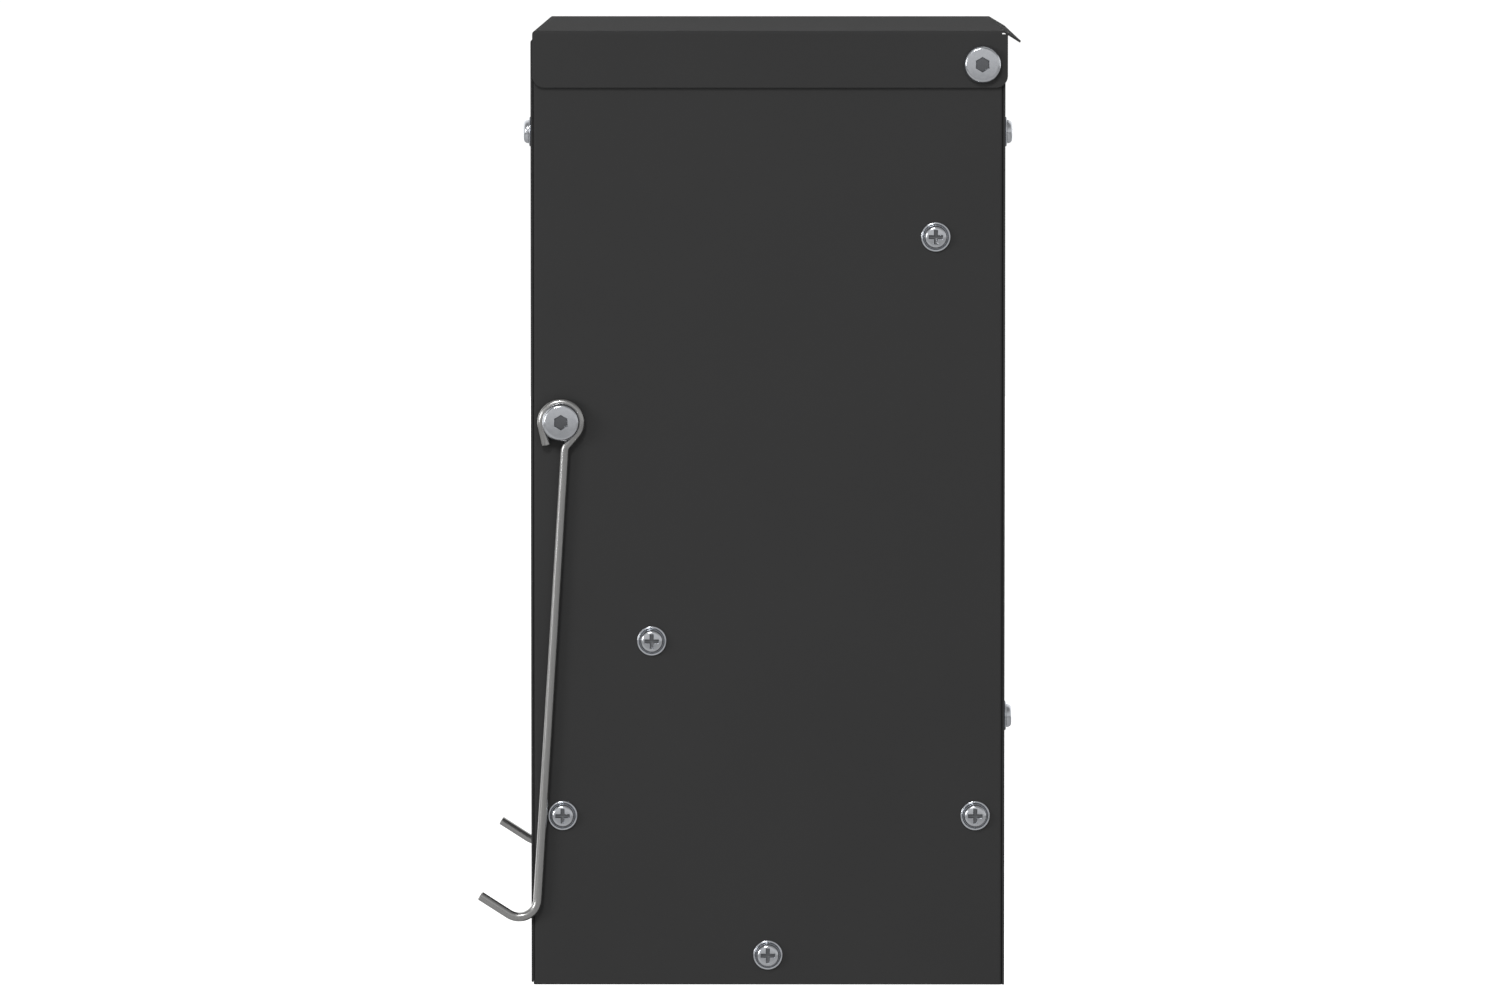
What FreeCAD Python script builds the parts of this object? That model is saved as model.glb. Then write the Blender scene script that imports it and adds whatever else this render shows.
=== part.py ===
# Wall mounted mailbox, as an assembly of folded sheet pieces, fasteners, hooks, lid and door.
# Frame: X across, Y towards the wall, Z up. The origin is the middle of the four wall holes,
# on the rear face of the back panel. Pieces are drawn with Z = 0 at the underside of the box
# and each Placement lowers them by the height of the wall hole pattern.
import FreeCAD, Part
import math
import os
import Sketcher
from FreeCAD import Placement, Rotation, Vector

# Driving dimensions in millimetres, angles in degrees.
DIMENSIONS = {
    "body_width": 300.0,            # over the two side panels
    "body_depth": 181.0,            # front panel face to back panel face
    "body_height": 365.0,           # underside to lid top
    "sheet": 0.8,                   # sheet thickness
    "fold_radius": 1.3,             # outside radius of a fold
    "front_top_drop": 3.2,          # front panel top edge below the lid top
    "side_top_drop": 5.5,           # side and back panel top edges below the lid top
    "front_bottom_lift": 1.0,       # front panel lower edge above the underside
    "flange_width": 18.0,
    "flange_foot": 96.0,            # lower end of the side panel flanges
    "lug_length": 24.0,
    "lug_foot": 40.0,
    "lug_head": 90.0,
    "bottom_flange": 20.0,
    "hem_width": 12.0,
    "notch_half_width": 26.0,       # finger notch in the front panel top edge
    "notch_depth": 9.0,
    "front_lug_screw_inset": 12.0,
    "rear_lug_screw_inset": 11.2,
    "lug_screw_height": 65.0,
    "bottom_screw_height": 11.4,
    "face_screw_inset": 11.4,
    "face_screw_high": 326.3,
    "face_screw_low": 102.5,
    "baffle_high_inset": 26.5,      # upper baffle screw from the rear face
    "baffle_high": 286.5,
    "baffle_low_inset": 46.1,       # lower baffle screw from the front face
    "baffle_low": 132.0,
    "baffle_offset": 8.0,           # baffle plate above its screw line
    "baffle_flange": 16.0,
    "baffle_overrun": 8.0,
    "baffle_reach": 33.0,
    "baffle_rear_gap": 1.0,         # between the top lip and the back panel
    "skirt_depth": 21.6,
    "skirt_gap": 0.5,
    "skirt_corner": 4.5,
    "skirt_rear_overhang": 0.9,
    "lid_setback": 0.7,
    "lid_rear_inset": 0.5,
    "lid_return": 2.8,
    "lip_length": 7.4,
    "lip_angle": 31.0,
    "relief": 0.45,
    "pivot_from_rear": 8.8,
    "pivot_below_top": 12.8,
    "bumper_radius": 5.0,
    "bumper_height": 2.1,
    "bumper_inset": 24.0,
    "wall_hole_radius": 3.25,
    "wall_spacing_x": 200.0,
    "wall_spacing_z": 270.0,
    "pattern_height": 195.0,        # middle of the wall holes above the underside
    "screw_head_radius": 4.5,
    "screw_head_height": 2.2,
    "screw_rim": 1.4,               # rounding of the small head
    "cross_reach": 2.8,             # middle of the head to the end of a cross arm
    "cross_width": 1.4,
    "cross_depth": 1.2,
    "screw_radius": 2.4,
    "screw_hole_radius": 2.6,
    "screw_length": 10.0,
    "washer_radius": 5.65,
    "washer_thickness": 0.8,
    "nut_radius": 4.5,              # over the corners of the small nut
    "nut_height": 4.0,
    "pivot_head_radius": 7.2,
    "pivot_head_height": 2.6,
    "pivot_rim": 1.4,
    "socket_radius": 2.9,           # over the corners of the hexagon socket
    "socket_depth": 2.0,
    "pivot_screw_radius": 2.95,
    "pivot_screw_length": 13.0,
    "pivot_nut_radius": 5.7,
    "pivot_nut_height": 5.0,
    "lid_bush_radius": 4.0,
    "running_clearance": 0.05,
    "side_play": 0.3,
    "wire_radius": 1.75,
    "hook_from_front": 11.6,
    "hook_height": 215.9,
    "loop_radius": 7.4,             # to the middle of the wire
    "loop_exit_angle": 40.6,        # where the wire leaves the loop, below level
    "loop_tail_angle": 192.0,
    "tail_length": 7.6,
    "neck_radius": 4.0,
    "arm_offset": 2.0,
    "arm_lean": 3.48,
    "arm_drop": 195.2,              # pivot down to the corner of the J
    "hook_bend_radius": 7.2,
    "hook_tip_length": 25.4,
    "hook_tip_angle": 32.7,
    "door_half_width": 110.0,
    "door_foot": 30.0,
    "door_head": 150.0,
    "door_gap": 1.5,
    "door_recess": 3.0,
    "door_return": 3.0,
    "frame_return": 6.2,
    "hinge_pin_radius": 1.5,
    "knuckle_radius": 2.3,
    "hinge_inset": 3.2,
    "pin_head_radius": 2.4,
    "pin_head_height": 0.8,
    "lock_inset": 22.0,             # lock axis from the latch side of the opening
    "lock_height": 90.0,
    "barrel_radius": 6.0,
    "barrel_flange_radius": 8.0,
    "barrel_flange": 1.6,
    "plug_radius": 4.0,
    "lock_nut_radius": 9.0,
    "lock_nut_height": 4.0,
    "cam_thickness": 1.5,
    "cam_length": 26.0,
    "cam_width": 12.0,
    "cam_gap": 0.3,
}


class Size:
    """A number together with the sheet expression that gives it."""

    def __init__(self, value, text):
        self.value = value
        self.text = text

    @staticmethod
    def of(item):
        if isinstance(item, Size):
            return item
        return Size(float(item), repr(float(item)))

    def __add__(self, other):
        other = Size.of(other)
        return Size(self.value + other.value, f"({self.text} + {other.text})")

    def __sub__(self, other):
        other = Size.of(other)
        return Size(self.value - other.value, f"({self.text} - {other.text})")

    def __mul__(self, other):
        other = Size.of(other)
        return Size(self.value * other.value, f"({self.text} * {other.text})")

    def __truediv__(self, other):
        other = Size.of(other)
        return Size(self.value / other.value, f"({self.text} / {other.text})")

    def __neg__(self):
        return Size(-self.value, f"(-1 * {self.text})")

    def __rsub__(self, other):
        return Size.of(other) - self

    __radd__ = __add__
    __rmul__ = __mul__


def sine(angle):
    return Size(math.sin(math.radians(angle.value)), f"sin({angle.text})")


def cosine(angle):
    return Size(math.cos(math.radians(angle.value)), f"cos({angle.text})")


def distance(run, rise):
    return Size(math.hypot(run.value, rise.value), f"hypot({run.text}; {rise.text})")


def slope(rise, run):
    return Size(math.degrees(math.atan2(rise.value, run.value)), f"atan2({rise.text}; {run.text})")


DOC = FreeCAD.newDocument("mailbox")


def make_sheet():
    """Fills the spreadsheet and returns every dimension as a Size, by name."""
    sheet = DOC.addObject("Spreadsheet::Sheet", "dims")
    sizes = {}
    for row, (name, value) in enumerate(DIMENSIONS.items(), start=1):
        sheet.set(f"A{row}", name)
        sheet.set(f"B{row}", str(value))
        sheet.setAlias(f"B{row}", name)
        sizes[name] = Size(value, f"dims.{name}")
    DOC.recompute()
    return sizes


D = make_sheet()

# Places worked out from the driving dimensions.
HALF = D["body_width"] / 2
SHEET = D["sheet"]
FRONT = -D["body_depth"]
FRONT_INNER = FRONT + SHEET
REAR_INNER = -SHEET
SIDE_INNER = HALF - SHEET
LUG_INNER = SIDE_INNER - SHEET
FRONT_TOP = D["body_height"] - D["front_top_drop"]
SIDE_TOP = D["body_height"] - D["side_top_drop"]
LID_UNDER = D["body_height"] - SHEET
PIVOT_Y = -D["pivot_from_rear"]
PIVOT_Z = D["body_height"] - D["pivot_below_top"]
SKIRT_INNER = HALF + D["skirt_gap"]
SKIRT_OUTER = SKIRT_INNER + SHEET
SKIRT_FOOT = D["body_height"] - D["skirt_depth"]
HOOK_Y = FRONT + D["hook_from_front"]
HOOK_Z = D["hook_height"]
LOWERED = -D["pattern_height"]
BAFFLE_HIGH_Y = -D["baffle_high_inset"]
BAFFLE_LOW_Y = FRONT + D["baffle_low_inset"]
BAFFLE_SPAN = distance(BAFFLE_HIGH_Y - BAFFLE_LOW_Y, D["baffle_high"] - D["baffle_low"])
BAFFLE_ANGLE = slope(D["baffle_high"] - D["baffle_low"], BAFFLE_HIGH_Y - BAFFLE_LOW_Y)
DOOR_FACE = FRONT + D["door_recess"]
DOOR_INNER = DOOR_FACE + SHEET
DOOR_FOOT = D["door_foot"] + D["door_gap"]
DOOR_HEAD = D["door_head"] - D["door_gap"]
DOOR_FREE = D["door_half_width"] - D["door_gap"]
HINGE_X = D["hinge_inset"] - D["door_half_width"]
HINGE_Y = DOOR_FACE + D["knuckle_radius"]
LOCK_X = D["door_half_width"] - D["lock_inset"]
LOCK_NUT_END = DOOR_INNER + D["lock_nut_height"]
BARREL_END = LOCK_NUT_END + 0.2
CAM_START = BARREL_END + D["cam_gap"]
CAM_END = CAM_START + D["cam_thickness"]

PLANES = {"XY": ("XY_Plane", 1), "XZ": ("XZ_Plane", -1), "YZ": ("YZ_Plane", 1)}
SIDES = {"left": -1, "right": 1}


def bind(item, name, size):
    """Ties one property of an object to the sheet."""
    item.setExpression(name, Size.of(size).text)


def new_body(label):
    """A body whose drawing height is measured from the underside of the box."""
    body = DOC.addObject("PartDesign::Body", label)
    body.Label = label
    bind(body, "Placement.Base.z", LOWERED)
    return body


def new_sketch(body, plane, start):
    """A sketch on one of the body's own planes, moved along that plane's axis to start."""
    role, sign = PLANES[plane]
    sketch = body.newObject("Sketcher::SketchObject", f"{body.Name}_sketch")
    support = [item for item in body.Origin.OriginFeatures if item.Role == role][0]
    sketch.AttachmentSupport = [(support, "")]
    sketch.MapMode = "FlatFace"
    bind(sketch, "AttachmentOffset.Base.z", Size.of(start) * sign)
    return sketch


def draw_outline(sketch, points):
    """Closed outline of straight lines, each corner fixed to its own two sizes."""
    corners = [(Size.of(u), Size.of(v)) for u, v in points]
    first = sketch.GeometryCount
    spots = [Vector(u.value, v.value, 0) for u, v in corners]
    lines = [Part.LineSegment(spot, spots[(i + 1) % len(spots)]) for i, spot in enumerate(spots)]
    sketch.addGeometry(lines, False)
    for i, corner in enumerate(corners):
        following = first + (i + 1) % len(corners)
        sketch.addConstraint(Sketcher.Constraint("Coincident", first + i, 2, following, 1))
        for kind, size in zip(("DistanceX", "DistanceY"), corner):
            fix_point(sketch, kind, first + i, 1, size)


def fix_point(sketch, kind, geometry, point, size):
    """Holds one coordinate of a sketch point at a size."""
    index = sketch.addConstraint(Sketcher.Constraint(kind, -1, 1, geometry, point, size.value))
    sketch.setExpression(f"Constraints[{index}]", size.text)


def draw_circle(sketch, u, v, radius):
    """A circle held by its centre and radius."""
    u, v, radius = Size.of(u), Size.of(v), Size.of(radius)
    circle = Part.Circle(Vector(u.value, v.value, 0), Vector(0, 0, 1), radius.value)
    index = sketch.addGeometry(circle, False)
    fix_point(sketch, "DistanceX", index, 3, u)
    fix_point(sketch, "DistanceY", index, 3, v)
    number = sketch.addConstraint(Sketcher.Constraint("Radius", index, radius.value))
    sketch.setExpression(f"Constraints[{number}]", radius.text)


def add_pad(body, sketch, plane, depth):
    """Extrudes a sketch towards the positive side of its plane's axis."""
    pad = body.newObject("PartDesign::Pad", f"{body.Name}_pad")
    pad.Profile = sketch
    bind(pad, "Length", depth)
    pad.Reversed = PLANES[plane][1] < 0
    return pad


def add_plate(body, plane, start, depth, points, holes=()):
    """A flat plate: an outline with round holes, from start, depth thick."""
    sketch = new_sketch(body, plane, start)
    draw_outline(sketch, points)
    for hole in holes:
        draw_circle(sketch, *hole)
    return add_pad(body, sketch, plane, depth)


def add_disc(body, plane, start, depth, centre, radius, bore=None):
    """A round disc or a ring."""
    sketch = new_sketch(body, plane, start)
    draw_circle(sketch, centre[0], centre[1], radius)
    if bore is not None:
        draw_circle(sketch, centre[0], centre[1], bore)
    return add_pad(body, sketch, plane, depth)


def cut_through(body, plane, start, depth, outlines=(), circles=()):
    """Cuts outlines and circles out of the body, over depth from start."""
    sketch = new_sketch(body, plane, start)
    for points in outlines:
        draw_outline(sketch, points)
    for circle in circles:
        draw_circle(sketch, *circle)
    DOC.recompute()
    before = body.Shape.Volume
    pocket = body.newObject("PartDesign::Pocket", f"{body.Name}_pocket")
    pocket.Profile = sketch
    bind(pocket, "Length", depth)
    pocket.Reversed = PLANES[plane][1] > 0
    DOC.recompute()
    if body.Shape.Volume > before - 1e-6:
        raise RuntimeError(f"{body.Label}: a cut removed nothing")
    return pocket


def box_outline(u_low, u_high, v_low, v_high):
    return [(u_low, v_low), (u_high, v_low), (u_high, v_high), (u_low, v_high)]


def round_edges(body, radius, wanted):
    """Fillets the edges of the body for which wanted(middle, direction, length) is true."""
    DOC.recompute()
    names = []
    for number, edge in enumerate(body.Shape.Edges, start=1):
        if not isinstance(edge.Curve, Part.Line):
            continue
        start, end = edge.Vertexes[0].Point, edge.Vertexes[-1].Point
        middle = (start + end) / 2 - body.Placement.Base
        if wanted(middle, (end - start).normalize(), edge.Length):
            names.append(f"Edge{number}")
    if not names:
        raise RuntimeError(f"{body.Label}: no edge to round")
    base = body.Tip
    fillet = body.newObject("PartDesign::Fillet", f"{body.Name}_fillet")
    fillet.Base = (base, names)
    bind(fillet, "Radius", radius)
    return fillet


def near(value, size):
    return abs(value - Size.of(size).value) < 0.01


def along_z(direction):
    return abs(direction.z) > 0.999


def along_x(direction):
    return abs(direction.x) > 0.999


def along_y(direction):
    return abs(direction.y) > 0.999


SCREW_HOLE = D["screw_hole_radius"]
FRONT_LUG_SCREW = (FRONT + D["front_lug_screw_inset"], D["lug_screw_height"])
REAR_LUG_SCREW = (-D["rear_lug_screw_inset"], D["lug_screw_height"])
BOTTOM_SCREW = (FRONT / 2, D["bottom_screw_height"])
BAFFLE_LOW_SCREW = (BAFFLE_LOW_Y, D["baffle_low"])
BAFFLE_HIGH_SCREW = (BAFFLE_HIGH_Y, D["baffle_high"])
SIDE_SCREWS = [FRONT_LUG_SCREW, REAR_LUG_SCREW, BOTTOM_SCREW, BAFFLE_LOW_SCREW, BAFFLE_HIGH_SCREW]
FACE_SCREW_X = HALF - D["face_screw_inset"]


def make_side_panel(name, side):
    """Flat side with an inward flange behind the front panel and one before the back panel."""
    body = new_body(f"side_panel_{name}")
    outer = SIDE_INNER if side > 0 else -HALF
    holes = [(y, z, SCREW_HOLE) for y, z in SIDE_SCREWS]
    holes.append((PIVOT_Y, PIVOT_Z, D["pivot_screw_radius"] + D["running_clearance"]))
    holes.append((HOOK_Y, HOOK_Z, D["pivot_screw_radius"] + D["running_clearance"]))
    add_plate(body, "YZ", outer, SHEET, box_outline(FRONT_INNER, REAR_INNER, 0, SIDE_TOP), holes)
    flange_edge = SIDE_INNER - D["flange_width"]
    flange = box_outline(flange_edge * side, HALF * side, D["flange_foot"], SIDE_TOP - D["flange_width"])
    screw_x = FACE_SCREW_X * side
    high = (screw_x, D["face_screw_high"], SCREW_HOLE)
    low = (screw_x, D["face_screw_low"], SCREW_HOLE)
    add_plate(body, "XZ", FRONT_INNER, SHEET, flange, [high])
    add_plate(body, "XZ", REAR_INNER - SHEET, SHEET, flange, [high, low])
    round_edges(body, D["fold_radius"], lambda spot, way, length: along_z(way)
                and near(spot.x, HALF * side) and length > 100)
    return body


def make_front_panel():
    """Front sheet with a door opening framed by returns, a top hem and two lugs at the foot."""
    body = new_body("front_panel")
    holes = [(FACE_SCREW_X * side, D["face_screw_high"], SCREW_HOLE) for side in SIDES.values()]
    add_plate(body, "XZ", FRONT, SHEET, box_outline(-HALF, HALF, D["front_bottom_lift"], FRONT_TOP), holes)
    hem = box_outline(D["flange_width"] - HALF, HALF - D["flange_width"], FRONT, FRONT_INNER + D["hem_width"])
    add_plate(body, "XY", FRONT_TOP - SHEET, SHEET, hem)
    opening = box_outline(-D["door_half_width"], D["door_half_width"], D["door_foot"], D["door_head"])
    frame = box_outline(-D["door_half_width"] - SHEET, D["door_half_width"] + SHEET,
                        D["door_foot"] - SHEET, D["door_head"] + SHEET)
    add_plate(body, "XZ", FRONT, SHEET + D["frame_return"], frame)
    for side in SIDES.values():
        lug = box_outline(FRONT, FRONT_INNER + D["lug_length"], D["lug_foot"], D["lug_head"])
        start = LUG_INNER if side > 0 else -SIDE_INNER
        hole = (FRONT_LUG_SCREW[0], FRONT_LUG_SCREW[1], SCREW_HOLE)
        add_plate(body, "YZ", start, SHEET, lug, [hole])
    cut_through(body, "XZ", FRONT, D["frame_return"] + SHEET, [opening])
    pin_hole = (HINGE_X, HINGE_Y, D["hinge_pin_radius"])
    cut_through(body, "XY", D["door_foot"] - SHEET, D["door_head"] - D["door_foot"] + SHEET * 2,
                circles=[pin_hole])
    notch = box_outline(-D["notch_half_width"], D["notch_half_width"], FRONT_TOP - D["notch_depth"],
                        FRONT_TOP)
    cut_through(body, "XZ", FRONT, SHEET + D["hem_width"], [notch])
    round_edges(body, D["notch_depth"] * 0.6, lambda spot, way, length: along_y(way)
                and near(spot.z, FRONT_TOP - D["notch_depth"]) and abs(spot.x) < HALF.value / 2)
    round_edges(body, D["fold_radius"], lambda spot, way, length: along_x(way)
                and near(spot.y, FRONT) and near(spot.z, FRONT_TOP))
    return body


def make_back_panel():
    """Rear sheet with four wall holes and two lugs at the foot."""
    body = new_body("back_panel")
    holes = []
    for side in SIDES.values():
        for height in (D["face_screw_high"], D["face_screw_low"]):
            holes.append((FACE_SCREW_X * side, height, SCREW_HOLE))
        for level in (-1, 1):
            height = D["pattern_height"] + D["wall_spacing_z"] / 2 * level
            holes.append((D["wall_spacing_x"] / 2 * side, height, D["wall_hole_radius"]))
    add_plate(body, "XZ", REAR_INNER, SHEET, box_outline(-HALF, HALF, 0, SIDE_TOP), holes)
    for side in SIDES.values():
        lug = box_outline(REAR_INNER - D["lug_length"], 0, D["lug_foot"], D["lug_head"])
        start = LUG_INNER if side > 0 else -SIDE_INNER
        add_plate(body, "YZ", start, SHEET, lug, [(*REAR_LUG_SCREW, SCREW_HOLE)])
    return body


def make_bottom_panel():
    """Bottom tray: a floor with upturned flanges on all four sides."""
    body = new_body("bottom_panel")
    clear = D["lug_length"] + SHEET * 4
    floor = box_outline(-SIDE_INNER, SIDE_INNER, FRONT_INNER, REAR_INNER)
    add_plate(body, "XY", 0, SHEET, floor)
    wall = box_outline(FRONT + clear, -clear, 0, D["bottom_flange"])
    for side in SIDES.values():
        start = LUG_INNER if side > 0 else -SIDE_INNER
        add_plate(body, "YZ", start, SHEET, wall, [(*BOTTOM_SCREW, SCREW_HOLE)])
    end = box_outline(clear - HALF, HALF - clear, 0, D["bottom_flange"])
    add_plate(body, "XZ", FRONT_INNER, SHEET, end)
    add_plate(body, "XZ", REAR_INNER - SHEET, SHEET, end)
    return body


def make_baffle():
    """Sloped baffle, drawn flat along its own screw line and tilted by its Placement."""
    body = new_body("baffle")
    body.Placement = Placement(Vector(0, 0, 0), Rotation(Vector(1, 0, 0), 10))
    bind(body, "Placement.Rotation.Angle", BAFFLE_ANGLE)
    bind(body, "Placement.Base.y", BAFFLE_LOW_Y)
    bind(body, "Placement.Base.z", D["baffle_low"] + LOWERED)
    offset = D["baffle_offset"]
    top = BAFFLE_SPAN + D["baffle_reach"]
    foot = -D["baffle_overrun"]
    add_plate(body, "XY", offset, SHEET, box_outline(-SIDE_INNER, SIDE_INNER, foot, top))
    wall = box_outline(foot, BAFFLE_SPAN + D["baffle_overrun"], offset + SHEET - D["baffle_flange"],
                       offset + SHEET)
    holes = [(0, 0, SCREW_HOLE), (BAFFLE_SPAN, 0, SCREW_HOLE)]
    for side in SIDES.values():
        start = LUG_INNER if side > 0 else -SIDE_INNER
        add_plate(body, "YZ", start, SHEET, wall, holes)
    # The top lip runs level to the back panel, so it turns back by the angle of the slope.
    level = (cosine(BAFFLE_ANGLE), -sine(BAFFLE_ANGLE))
    down = (-sine(BAFFLE_ANGLE) * SHEET, -cosine(BAFFLE_ANGLE) * SHEET)
    fold_y = BAFFLE_LOW_Y + top * cosine(BAFFLE_ANGLE) - (offset + SHEET) * sine(BAFFLE_ANGLE)
    reach = REAR_INNER - D["baffle_rear_gap"] - fold_y
    tip = (top + level[0] * reach, offset + SHEET + level[1] * reach)
    lip = [(top - SHEET / 2, offset), (top - SHEET / 2, offset + SHEET), (top, offset + SHEET), tip,
           (tip[0] + down[0], tip[1] + down[1])]
    lip_half = SIDE_INNER - D["flange_width"] - SHEET
    add_plate(body, "YZ", -lip_half, lip_half * 2, lip)
    return body


def make_lid():
    """Lid: top plate, two side skirts with rounded lower corners, front return and rear drip lip."""
    body = new_body("lid")
    front = FRONT + D["lid_setback"]
    rear = -D["lid_rear_inset"]
    top = D["body_height"]
    add_plate(body, "XY", LID_UNDER, SHEET, box_outline(-SKIRT_OUTER, SKIRT_OUTER, front, rear))
    notch_z = top - SHEET - D["relief"]
    skirt = [(front, SKIRT_FOOT), (D["skirt_rear_overhang"], SKIRT_FOOT),
             (D["skirt_rear_overhang"], notch_z), (rear - SHEET, notch_z), (rear - SHEET, top),
             (front, top)]
    hole = (PIVOT_Y, PIVOT_Z, D["lid_bush_radius"] + D["running_clearance"])
    for side in SIDES.values():
        start = SKIRT_INNER if side > 0 else -SKIRT_OUTER
        add_plate(body, "YZ", start, SHEET, skirt, [hole])
    add_plate(body, "XZ", front, SHEET, box_outline(-SKIRT_OUTER, SKIRT_OUTER, top - D["lid_return"], top))
    round_edges(body, D["skirt_corner"], lambda spot, way, length: along_x(way)
                and near(spot.z, SKIRT_FOOT))
    round_edges(body, D["fold_radius"], lambda spot, way, length: near(spot.z, top) and (
        (along_y(way) and near(abs(spot.x), SKIRT_OUTER) and length > 50)
        or (along_x(way) and near(spot.y, front))))
    way = (cosine(D["lip_angle"]), -sine(D["lip_angle"]))
    tip = (rear + way[0] * D["lip_length"], top + way[1] * D["lip_length"])
    lip = [(rear, LID_UNDER), (rear, top), tip, (tip[0] + way[1] * SHEET, tip[1] - way[0] * SHEET)]
    add_plate(body, "YZ", -SKIRT_OUTER, SKIRT_OUTER * 2, lip)
    return body


def make_hook(name, side):
    """Newspaper hook: one length of round wire with a pivot loop, an arm and a J at the foot."""
    hook = DOC.addObject("Part::Feature", f"newspaper_hook_{name}")
    hook.Label = f"newspaper_hook_{name}"
    radius = D["wire_radius"].value
    path = hook_path()
    start = path.Edges[0].valueAt(path.Edges[0].FirstParameter)
    way = path.Edges[0].tangentAt(path.Edges[0].FirstParameter)
    ring = Part.Wire(Part.makeCircle(radius, start, way))
    hook.Shape = path.makePipeShell([ring], True, False)
    plane_x = HALF + D["side_play"] + D["wire_radius"]
    hook.Placement = Placement(Vector(plane_x.value * side, HOOK_Y.value, (HOOK_Z + LOWERED).value), Rotation())
    return hook


def polar(radius, degrees):
    angle = math.radians(degrees)
    return Vector(0, radius * math.cos(angle), radius * math.sin(angle))


def hook_path():
    """Middle line of the hook wire in the YZ plane, with the pivot at the origin."""
    loop = D["loop_radius"].value
    exit_angle = -D["loop_exit_angle"].value
    leave = polar(loop, exit_angle)
    leave_way = polar(1, exit_angle - 90)
    tail_join = polar(loop, D["loop_tail_angle"].value)
    tail_end = tail_join + polar(D["tail_length"].value, D["loop_tail_angle"].value + 90)
    lean = math.tan(math.radians(D["arm_lean"].value))
    offset = D["arm_offset"].value
    # The neck is where the straight from the loop meets the line of the arm.
    reach = (leave.y - offset - lean * leave.z) / (lean * leave_way.z - leave_way.y)
    neck = leave + leave_way * reach
    drop = D["arm_drop"].value
    corner = Vector(0, offset - lean * drop, -drop)
    tip = corner + polar(D["hook_tip_length"].value, 180 - D["hook_tip_angle"].value)
    edges = [Part.makeLine(tail_end, tail_join),
             Part.Arc(tail_join, Vector(0, 0, loop), leave).toShape()]
    bends = [(neck, D["neck_radius"].value), (corner, D["hook_bend_radius"].value)]
    return Part.Wire(edges + rounded_run([leave, neck, corner, tip], bends))


def rounded_run(points, bends):
    """Straight edges through the points, joined by arcs tangent to both neighbours."""
    edges = []
    here = points[0]
    for (corner, radius), following in zip(bends, points[2:]):
        back = (here - corner).normalize()
        ahead = (following - corner).normalize()
        half_angle = back.getAngle(ahead) / 2
        cut = radius / math.tan(half_angle)
        first = corner + back * cut
        last = corner + ahead * cut
        bisector = (back + ahead).normalize()
        centre = corner + bisector * (radius / math.sin(half_angle))
        edges.append(Part.makeLine(here, first))
        edges.append(Part.Arc(first, centre - bisector * radius, last).toShape())
        here = last
    edges.append(Part.makeLine(here, points[-1]))
    return edges


def make_door():
    """Collection door: a recessed plate with shallow returns and a full height hinge knuckle."""
    body = new_body("door")
    bore = D["hinge_pin_radius"] + D["running_clearance"]
    height = DOOR_HEAD - DOOR_FOOT
    lock_hole = (LOCK_X, D["lock_height"], D["barrel_radius"])
    add_plate(body, "XZ", DOOR_FACE, SHEET, box_outline(HINGE_X, DOOR_FREE, DOOR_FOOT, DOOR_HEAD),
              [lock_hole])
    add_disc(body, "XY", DOOR_FOOT, height, (HINGE_X, HINGE_Y), D["knuckle_radius"])
    returns_start = HINGE_X + D["knuckle_radius"] * 3
    for foot in (DOOR_FOOT, DOOR_HEAD - SHEET):
        strip = box_outline(returns_start, DOOR_FREE, foot, foot + SHEET)
        add_plate(body, "XZ", DOOR_FACE, SHEET + D["door_return"], strip)
    latch_strip = box_outline(DOOR_FREE - SHEET, DOOR_FREE, DOOR_FOOT, DOOR_HEAD)
    add_plate(body, "XZ", DOOR_FACE, SHEET + D["door_return"], latch_strip)
    cut_through(body, "XY", DOOR_FOOT, height, circles=[(HINGE_X, HINGE_Y, bore)])
    round_edges(body, D["fold_radius"], lambda spot, way, length: near(spot.y, DOOR_FACE)
                and along_z(way) and near(spot.x, DOOR_FREE))
    return body


def make_hinge_pin():
    """Door hinge pin through both returns of the front panel, with a head at each end."""
    body = new_body("door_hinge_pin")
    centre = (HINGE_X, HINGE_Y)
    foot = D["door_foot"] - SHEET
    head = D["door_head"] + SHEET
    add_disc(body, "XY", foot, head - foot, centre, D["hinge_pin_radius"])
    add_disc(body, "XY", foot - D["pin_head_height"], D["pin_head_height"], centre, D["pin_head_radius"])
    add_disc(body, "XY", head, D["pin_head_height"], centre, D["pin_head_radius"])
    return body


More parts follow.
